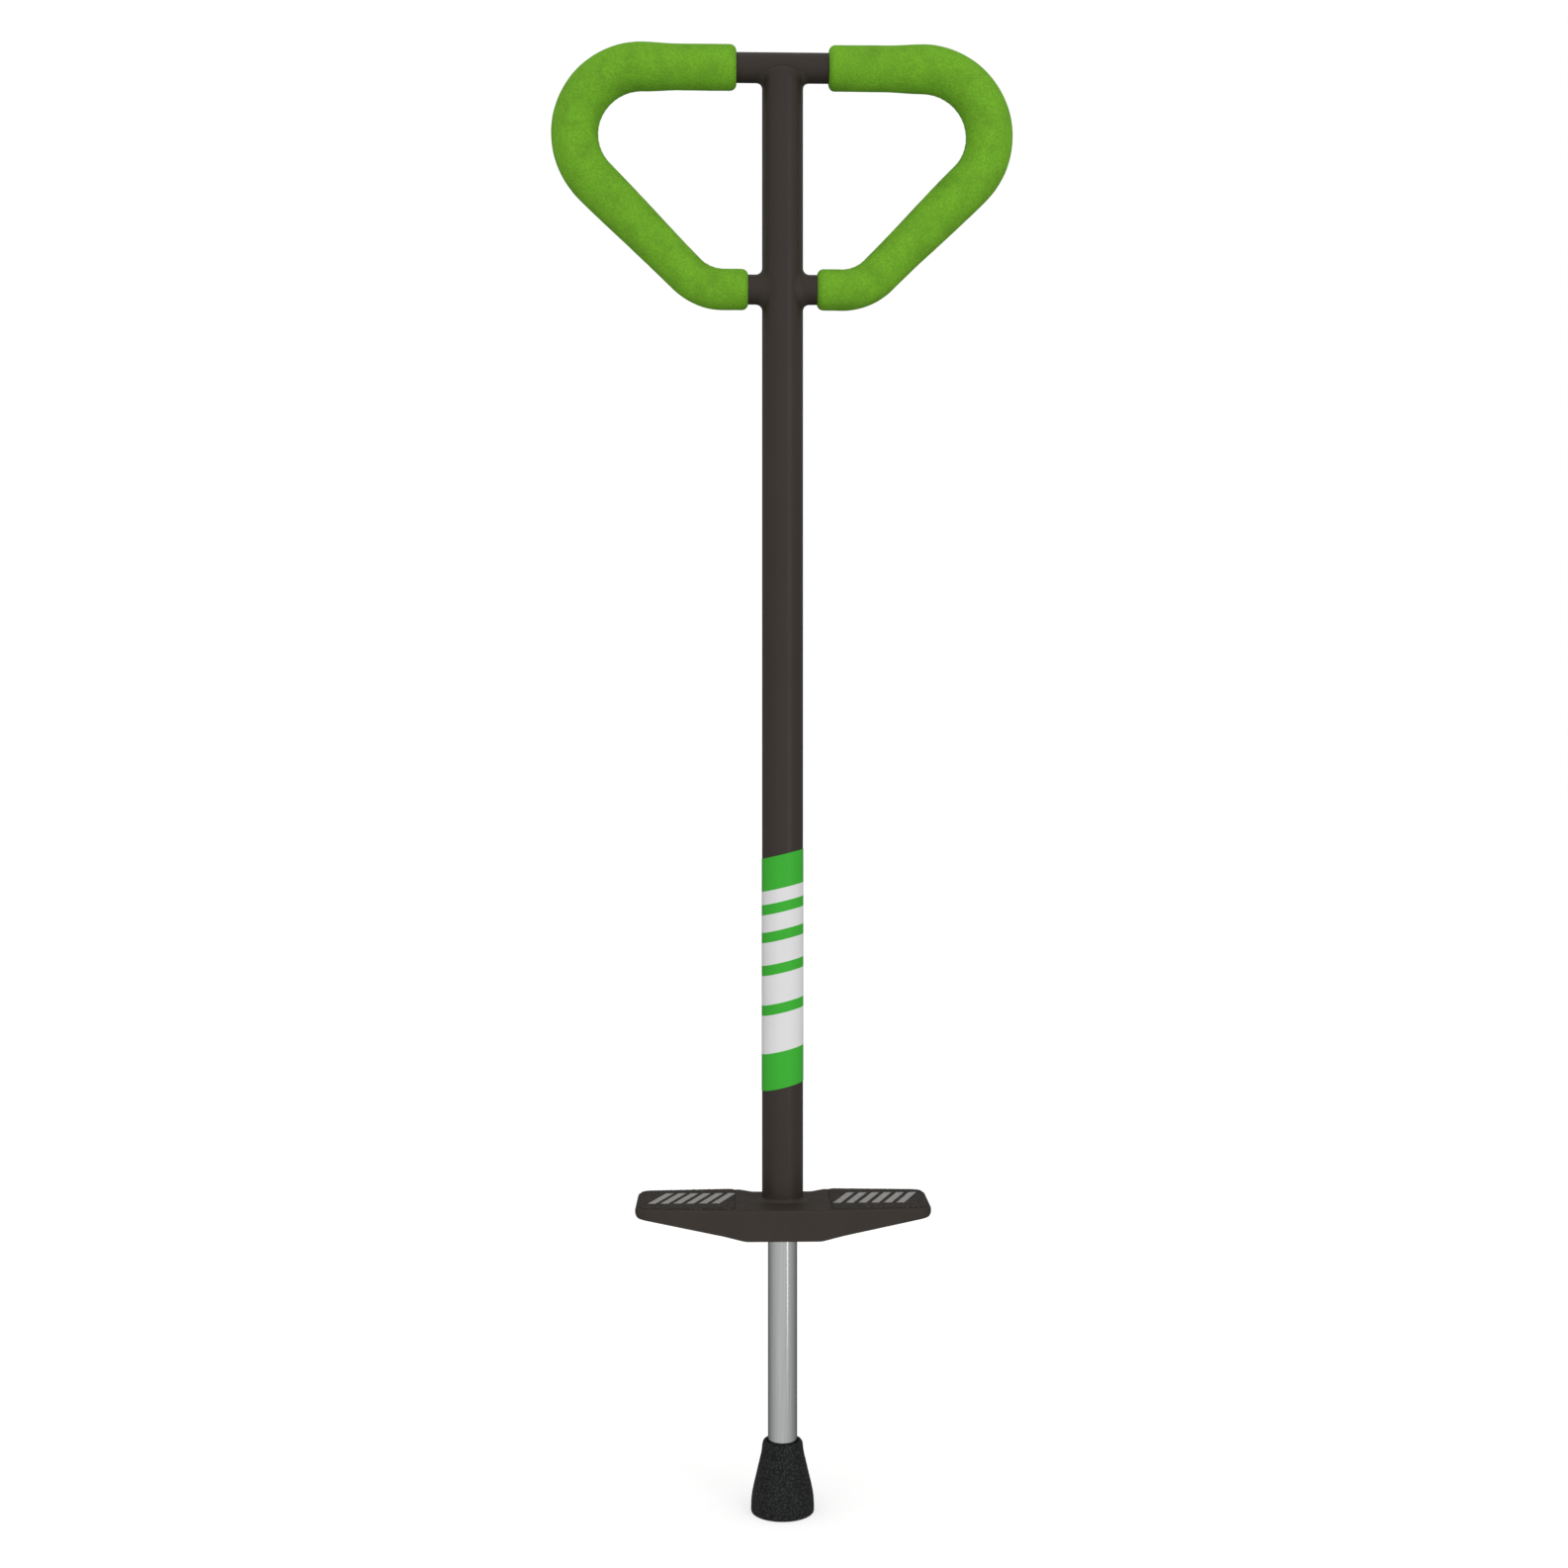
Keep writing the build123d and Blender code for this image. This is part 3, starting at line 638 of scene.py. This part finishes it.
def side_weld_corners(side, bar_z, bar_radius, tube_radius, leg):
    """Where the lower bar meets the main tube: toe on the bar, root, toe on the tube."""
    corners = []
    count = 200
    for k in range(count):
        angle = math.tau * k / count
        rise, spread = math.cos(angle), math.sin(angle)
        bearing = math.asin(bar_radius * spread / tube_radius)
        reach = side * tube_radius * math.cos(bearing)
        root = Vector((reach, bar_radius * spread, bar_z + bar_radius * rise))
        bearing += leg * spread / tube_radius
        height = bar_z + (bar_radius + leg) * rise
        on_tube = (side * tube_radius * math.cos(bearing), tube_radius * math.sin(bearing), height)
        corners.append((root + Vector((side * leg, 0, 0)), root, Vector(on_tube)))
    return corners


def top_weld_corners(bar_z, bar_radius, tube_radius, tube_top, leg):
    """Round the main tube's top, under the top bar and up its sides: toe on bar, root, toe on tube."""
    corners = []
    count = 280
    wrap, swell = math.radians(82), 1.0 * MM
    for k in range(count):
        angle = math.tau * k / count
        out, spread = math.cos(angle), math.sin(angle)
        under = bar_z - math.sqrt(max(0.0, bar_radius**2 - (tube_radius * spread) ** 2))
        root_z = min(tube_top, under)
        root = Vector((tube_radius * out, tube_radius * spread, root_z))
        low_leg = leg * (1 - 0.2 * spread**2)
        on_tube = Vector((root.x, root.y, root_z - low_leg))
        lean = wrap * spread
        reach = (tube_radius + leg * (1 - 0.3 * spread**2)) * out
        on_bar = Vector((reach, bar_radius * math.sin(lean), bar_z - bar_radius * math.cos(lean)))
        corners.append((on_bar, root + Vector((0, 0, swell * spread**2)), on_tube))
    return corners


class POGO_OT_make_welds(bpy.types.Operator):
    """Run the beads that join handlebar, main tube and footrest"""

    bl_idname = "pogo.make_welds"
    bl_label = "Weld Beads"

    def execute(self, context):
        settings = context.scene.pogo_welds
        paint = tuple(context.scene.pogo_finish.paint)
        finish = paint_finish("painted_weld", paint, 0.42, 0.03 * MM)
        line = HandleLine(context.scene.pogo_grips)
        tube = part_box("main_tube")[1]
        shape = bmesh.new()
        for side in (-1, 1):
            corners = side_weld_corners(side, line.low, line.bar_radius, tube.y, settings.leg)
            weld_bead(shape, corners, settings)
        weld_bead(shape, top_weld_corners(line.top, line.bar_radius, tube.y, tube.z, settings.leg), settings)
        add_piece("handlebar_weld_beads", shape, "frame", [finish], ["handlebar_welds"])
        shape = bmesh.new()
        top, leg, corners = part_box("footrest")[1].z, settings.footrest_leg, []
        for k in range(200):
            out = Vector((math.cos(math.tau * k / 200), math.sin(math.tau * k / 200), 0))
            root = tube.y * out + Vector((0, 0, top))
            corners.append((root + leg * out, root, root + Vector((0, 0, leg))))
        weld_bead(shape, corners, settings)
        add_piece("footrest_weld_bead", shape, "frame", [finish], ["footrest_weld"])
        return {"FINISHED"}


# --- Printed band --------------------------------------------------------------------------------


def band_heights(settings, total):
    """(height above the band's lower end, is a bar above it) from the bottom edge to the top one."""
    marks = [(0.0, False)]
    height, bar = settings.first_bar, settings.bar
    for _ in range(settings.bar_count):
        if height + bar > total:
            raise ValueError("the bars do not fit on the band")
        marks += [(height, True), (height + bar, False)]
        height += bar + settings.gap
        bar *= settings.bar_shrink
    return marks + [(total, False)]


class POGO_OT_make_band(bpy.types.Operator):
    """Wrap the printed band round the main tube"""

    bl_idname = "pogo.make_band"
    bl_label = "Printed Band"

    def execute(self, context):
        settings = context.scene.pogo_print
        low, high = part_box("tube_decal")
        outer, inner = high.x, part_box("main_tube")[1].x
        slope = settings.slope
        bottom = low.z + slope * outer
        marks = band_heights(settings, high.z - low.z - 2 * slope * outer)
        seam = 2.0 * MM / outer
        columns = 144
        shape = bmesh.new()
        rings = []
        for k in range(columns + 1):
            angle = math.pi / 2 + seam / 2 + (math.tau - seam) * k / columns
            out = Vector((math.cos(angle), math.sin(angle), 0))
            rise = Vector((0, 0, bottom + slope * outer * out.x))
            outside = [outer * out + rise + Vector((0, 0, height)) for height, _ in marks]
            rings.append(outside + [point - (outer - inner) * out for point in reversed(outside)])
        rows = skin(shape, rings)
        shape.faces.new(rows[0])
        shape.faces.new(rows[-1])
        shape.faces.ensure_lookup_table()
        steps = 2 * len(marks)
        for index in range(columns * steps):
            across = index % steps
            if across < len(marks) and marks[across][1]:
                shape.faces[index].material_index = 1
        ground = film_finish("green_film", tuple(settings.band))
        finishes = [ground, film_finish("white_film", tuple(settings.bars))]
        add_piece("printed_band", shape, "frame", finishes, ["tube_decal"], sharp=35.0)
        return {"FINISHED"}


# --- Grip tape -----------------------------------------------------------------------------------


def tape_half_depth(x, near, far, near_depth, far_depth, near_round, far_round):
    """Half depth of the tape at x, narrowing outwards, with its corners rounded."""
    depth = near_depth + (far_depth - near_depth) * (x - near) / (far - near)
    for gap, radius in ((x - near, near_round), (far - x, far_round)):
        if gap < radius:
            depth -= radius - math.sqrt(max(0.0, radius**2 - (radius - gap) ** 2))
    return depth


def tape_piece(name, side, stands_for, settings, finish):
    """One pad of grip tape on a wing of the footrest, with its grains standing up."""
    low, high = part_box("right_tread")
    near, far = low.x, high.x
    taper, inner_round, outer_round = 4.9 * MM, 5 * MM, 7 * MM
    across, deep = 130, 124
    shape = bmesh.new()
    grid = []
    for i in range(across + 1):
        x = near + (far - near) * i / across
        depth = tape_half_depth(x, near, far, high.y, high.y - taper, inner_round, outer_round)
        row = []
        for j in range(deep + 1):
            y = depth * (2 * j / deep - 1)
            point = Vector((x, y, high.z))
            edge = min(i, across - i, j, deep - j)
            lump = 0.5 + 0.8 * wander(point, 0.9 * MM, seed=side)
            lump += 0.4 * wander(point, 0.5 * MM, seed=side + 5)
            height = settings.grit * max(0.0, lump) if edge > 0 else -0.15 * MM
            row.append(shape.verts.new((side * x, y, high.z - settings.grit + height)))
        grid.append(row)
    for near_row, far_row in zip(grid, grid[1:]):
        for j in range(deep):
            shape.faces.new((near_row[j], near_row[j + 1], far_row[j + 1], far_row[j]))
    rim = grid[0][:-1] + [row[-1] for row in grid[:-1]] + grid[-1][:0:-1] + [row[0] for row in grid[:0:-1]]
    foot = [shape.verts.new((vertex.co.x, vertex.co.y, low.z)) for vertex in rim]
    for k in range(len(rim)):
        after = (k + 1) % len(rim)
        shape.faces.new((rim[k], rim[after], foot[after], foot[k]))
    shape.faces.new(foot)
    return add_piece(name, shape, "frame", [finish], [stands_for], sharp=60.0)


class POGO_OT_make_tape(bpy.types.Operator):
    """Stick grip tape on both wings of the footrest"""

    bl_idname = "pogo.make_tape"
    bl_label = "Grip Tape"

    def execute(self, context):
        settings = context.scene.pogo_print
        tape, ink = tuple(settings.tape), tuple(settings.tape_bars)
        for name, side, node in (("right_grip_tape", 1, "right_tread"), ("left_grip_tape", -1, "left_tread")):
            start = 39 * MM if side > 0 else -86 * MM
            finish = tape_finish(
                name + "_grit",
                tape,
                ink,
                lambda tree: bar_mask(
                    tree,
                    start,
                    pitch=8.6 * MM,
                    duty=0.6,
                    count=6,
                    slant=0.35,
                    middle=1 * MM,
                    half_depth=16 * MM,
                ),
            )
            tape_piece(name, side, node, settings, finish)
        return {"FINISHED"}


# --- Rubber foot ---------------------------------------------------------------------------------


def eased_outline(corners, rounding, steps=7):
    """(radius, height) corners with each inner corner rounded off by its own amount."""
    points = [Vector(corners[0])]
    for before, here, after, amount in zip(corners, corners[1:], corners[2:], rounding):
        before, here, after = Vector(before), Vector(here), Vector(after)
        into = here + (before - here).normalized() * min(amount, 0.48 * (before - here).length)
        out = here + (after - here).normalized() * min(amount, 0.48 * (after - here).length)
        for k in range(steps + 1):
            t = k / steps
            points.append((1 - t) ** 2 * into + 2 * t * (1 - t) * here + t * t * out)
    return points + [Vector(corners[-1])]


def divided(points, longest):
    """The same outline with its long runs divided."""
    out = [points[0]]
    for near, far in zip(points, points[1:]):
        count = max(1, math.ceil((far - near).length / longest))
        out += [near + (far - near) * k / count for k in range(1, count + 1)]
    return out


class POGO_OT_make_foot(bpy.types.Operator):
    """Mould the rubber foot over the shaft's lower end"""

    bl_idname = "pogo.make_foot"
    bl_label = "Rubber Foot"

    def execute(self, context):
        settings = context.scene.pogo_finish
        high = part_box("tip")[1]
        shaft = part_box("shaft")[1].x
        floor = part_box("tip_washer")[0].z
        foot, top = high.x, high.z
        collar, draft = 14.3 * MM, 0.8 * MM
        belly_height, collar_height = 12 * MM, 8 * MM
        rim_drop, mouth_depth = 0.7 * MM, 1.8 * MM
        groove, half_groove = 1.6 * MM, 1.0 * MM
        sole = []
        for radius in (7 * MM, 13 * MM):
            sole += [
                (radius - half_groove, 0.0),
                (radius - half_groove, groove),
                (radius + half_groove, groove),
                (radius + half_groove, 0.0),
            ]
        mouth, bore = shaft + 1.6 * MM, shaft + 0.05 * MM
        outside = [
            (foot, 0.0),
            (foot - draft / 2, belly_height),
            (collar, top - collar_height),
            (collar - draft, top - rim_drop),
            (mouth, top),
            (bore, top - mouth_depth),
            (bore, floor),
        ]
        corners = [(0.0, 0.0)] + sole + outside + [(0.0, floor)]
        outside_rounding = [1.0 * MM, 7 * MM, 2.4 * MM, 2.2 * MM, 0.6 * MM, 0.4 * MM, 0.2 * MM]
        rounding = [0.3 * MM] * len(sole) + outside_rounding
        outline = divided(eased_outline(corners, rounding), longest=0.9 * MM)
        count = 180
        shape = bmesh.new()
        rows = turned(shape, [(p.x, p.y) for p in outline], count)
        for row in rows:
            for k, vertex in enumerate(row):
                radius = math.hypot(vertex.co.x, vertex.co.y)
                if radius < shaft + 1 * MM or vertex.co.z < 0.5 * MM:
                    continue
                seam = min(abs(k - count / 2), k, count - k)
                lift = settings.parting_line * max(0.0, 1 - seam / 1.6)
                lift += 0.09 * MM * wander(vertex.co, 1.3 * MM) - 0.09 * MM
                scale = 1 + min(lift, 0.0 if vertex.co.z < 2 * MM else lift) / radius
                vertex.co.x *= scale
                vertex.co.y *= scale
        finish = rubber_finish("foot_rubber", tuple(settings.rubber))
        add_piece("rubber_foot", shape, "plunger", [finish], ["tip"], sharp=45.0)
        return {"FINISHED"}


# --- Spring --------------------------------------------------------------------------------------


class POGO_OT_make_spring(bpy.types.Operator):
    """Wind the main spring between its two seats"""

    bl_idname = "pogo.make_spring"
    bl_label = "Main Spring"

    def execute(self, context):
        low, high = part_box("main_spring")
        wire = 2.25 * MM
        coil = high.x - wire
        turns, per_turn, around = 38, 40, 12
        full = high.z - low.z
        shape = bmesh.new()
        rings = []
        for k in range(turns * per_turn + 1):
            share_up = k / (turns * per_turn)
            angle = math.tau * turns * share_up
            out = Vector((math.cos(angle), math.sin(angle), 0))
            centre = coil * out + Vector((0, 0, low.z + full * share_up))
            ring = circle(centre, out, Vector((0, 0, 1)), wire, around)
            rings.append([Vector((p.x, p.y, min(high.z, max(low.z, p.z)))) for p in ring])
        rows = skin(shape, rings)
        shape.faces.new(rows[0])
        shape.faces.new(rows[-1])
        finish = steel_finish("oiled_spring_steel", linear(120, 118, 114), 0.34, 2.5 * MM)
        piece = add_piece("wound_spring", shape, "frame", [finish], ["main_spring"])
        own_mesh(piece)
        return {"FINISHED"}


# --- Finishes for the parts that keep their CAD shape ----------------------------------------------


class POGO_OT_finish_parts(bpy.types.Operator):
    """Paint, plate or grain the parts that keep their own shape"""

    bl_idname = "pogo.finish_parts"
    bl_label = "Paint and Plating"

    def execute(self, context):
        settings = context.scene.pogo_finish
        zinc = steel_finish("zinc_plate", linear(196, 194, 186), 0.34, 1.6 * MM)
        finishes = {
            paint_finish("tube_paint", tuple(settings.paint), 0.36, 0.04 * MM): (
                "main_tube",
                "handlebar",
                "stop_pin",
            ),
            paint_finish("footrest_paint", tuple(settings.footrest_paint), 0.55, 0.07 * MM): ("footrest",),
            plating_finish("satin_plating", tuple(settings.plating)): ("shaft",),
            plastic_finish("bush_nylon", tuple(settings.plastic)): ("lower_bush", "piston", "shaft_plug"),
            rubber_finish("bumper_rubber", tuple(settings.rubber)): ("rebound_bumper",),
            zinc: (
                "bush_screws",
                "upper_spring_seat",
                "lower_spring_seat",
                "piston_pin",
                "tip_washer",
            ),
        }
        for finish, names in finishes.items():
            for name in names:
                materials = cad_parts[name].data.materials
                materials.clear()
                materials.append(finish)
        return {"FINISHED"}


# --- Stage ---------------------------------------------------------------------------------------


def studio_world(settings):
    """A white backdrop to look at, and a soft studio round the stick: bright in front, dim behind."""
    world = bpy.data.worlds.new("studio")
    world.use_nodes = True
    tree = world.node_tree
    background = tree.nodes["Background"]
    towards = add_node(tree, "TexCoord").outputs["Generated"]
    bright_side = Vector((-0.08, -0.85, 0.42)).normalized()
    facing = add_node(tree, "VectorMath", {0: towards, 1: bright_side}, operation="DOT_PRODUCT")
    light = ranged(tree, facing.outputs["Value"], settings.back, settings.front, start=-1.0, end=1.0)
    seen = add_node(tree, "LightPath").outputs["Is Camera Ray"]
    background.inputs["Color"].default_value = (1, 1, 1, 1)
    tree.links.new(math_node(tree, "MAXIMUM", light, seen), background.inputs["Strength"])
    bpy.context.scene.world = world


def soft_light(name, place, aim, width, height, power):
    """A rectangular soft light that looks at a point."""
    lamp = bpy.data.lights.new(name, "AREA")
    lamp.shape = "RECTANGLE"
    lamp.size, lamp.size_y, lamp.energy = width, height, power
    light = bpy.data.objects.new(name, lamp)
    light.location = place
    light.rotation_euler = (Vector(aim) - Vector(place)).to_track_quat("-Z", "Y").to_euler()
    bpy.context.scene.collection.objects.link(light)
    return light


class POGO_OT_set_stage(bpy.types.Operator):
    """Lay the floor and set up light and camera"""

    bl_idname = "pogo.set_stage"
    bl_label = "Stage"

    def execute(self, context):
        scene = context.scene
        settings = scene.pogo_stage
        scene.view_settings.view_transform = "Standard"
        studio_world(settings)
        soft_light(
            "tall_soft_light",
            place=(0.92, -1.18, 0.6),
            aim=(0, 0, 0.55),
            width=0.18,
            height=1.8,
            power=settings.key,
        )
        shape = bmesh.new()
        bmesh.ops.create_grid(shape, x_segments=8, y_segments=8, size=20.0)
        mesh = bpy.data.meshes.new("floor")
        shape.to_mesh(mesh)
        shape.free()
        finish, tree, shader = new_finish("pale_floor", Emission_Strength=0.5)
        patches = grain(tree, 0.4, detail=2.0)
        tone = tinted(tree, patches, (0.3, linear(248, 248, 247)), (0.7, linear(252, 252, 252)))
        tree.links.new(tone, shader.inputs["Base Color"])
        shader.inputs["Emission Color"].default_value = (1, 1, 1, 1)
        shader.inputs["Roughness"].default_value = 0.9
        see_through = add_node(tree, "BsdfTransparent").outputs["BSDF"]
        from_below = add_node(tree, "NewGeometry").outputs["Backfacing"]
        one_sided = add_node(tree, "MixShader", {0: from_below, 1: shader.outputs["BSDF"], 2: see_through})
        tree.links.new(one_sided.outputs["Shader"], tree.nodes["Material Output"].inputs["Surface"])
        mesh.materials.append(finish)
        floor = bpy.data.objects.new("floor", mesh)
        floor.location.z = -0.1 * MM  # just under the sole, so that the two do not fight
        scene.collection.objects.link(floor)
        floor.visible_diffuse = floor.visible_glossy = False
        lens = bpy.data.cameras.new("camera")
        lens.lens, lens.sensor_width = settings.lens, 36.0
        lens.clip_start, lens.clip_end = 0.05, 60.0
        camera = bpy.data.objects.new("camera", lens)
        stand = Vector((math.sin(settings.turn), -math.cos(settings.turn), 0))
        camera.location = Vector((settings.side, 0, settings.eye_height)) + settings.distance * stand
        camera.rotation_euler = (math.pi / 2, 0, settings.turn)
        scene.collection.objects.link(camera)
        scene.camera = camera
        return {"FINISHED"}


# --- Add-on --------------------------------------------------------------------------------------

SETTINGS = {
    "pogo_grips": PogoGripSettings,
    "pogo_welds": PogoWeldSettings,
    "pogo_print": PogoPrintSettings,
    "pogo_finish": PogoFinishSettings,
    "pogo_stage": PogoStageSettings,
}
STEPS = (
    POGO_OT_make_grips,
    POGO_OT_make_welds,
    POGO_OT_make_band,
    POGO_OT_make_tape,
    POGO_OT_make_foot,
    POGO_OT_make_spring,
    POGO_OT_finish_parts,
    POGO_OT_set_stage,
)


class POGO_PT_build(bpy.types.Panel):
    """The stick's sizes, colours and building steps"""

    bl_idname = "POGO_PT_build"
    bl_label = "Pogo Stick"
    bl_space_type = "VIEW_3D"
    bl_region_type = "UI"
    bl_category = "Pogo Stick"

    def draw(self, context):
        for step in STEPS:
            self.layout.operator(step.bl_idname)
        for name, group in SETTINGS.items():
            box = self.layout.box()
            for key in group.__annotations__:
                box.prop(getattr(context.scene, name), key)


def register():
    for group in SETTINGS.values():
        bpy.utils.register_class(group)
    for name, group in SETTINGS.items():
        setattr(bpy.types.Scene, name, PointerProperty(type=group))
    for step in (*STEPS, POGO_PT_build):
        bpy.utils.register_class(step)


def unregister():
    for step in (POGO_PT_build, *reversed(STEPS)):
        bpy.utils.unregister_class(step)
    for name, group in SETTINGS.items():
        delattr(bpy.types.Scene, name)
        bpy.utils.unregister_class(group)


def main():
    register()
    bpy.ops.pogo.make_grips()
    bpy.ops.pogo.make_welds()
    bpy.ops.pogo.make_band()
    bpy.ops.pogo.make_tape()
    bpy.ops.pogo.make_foot()
    bpy.ops.pogo.make_spring()
    bpy.ops.pogo.finish_parts()
    bpy.ops.pogo.set_stage()


if __name__ == "__main__":
    main()
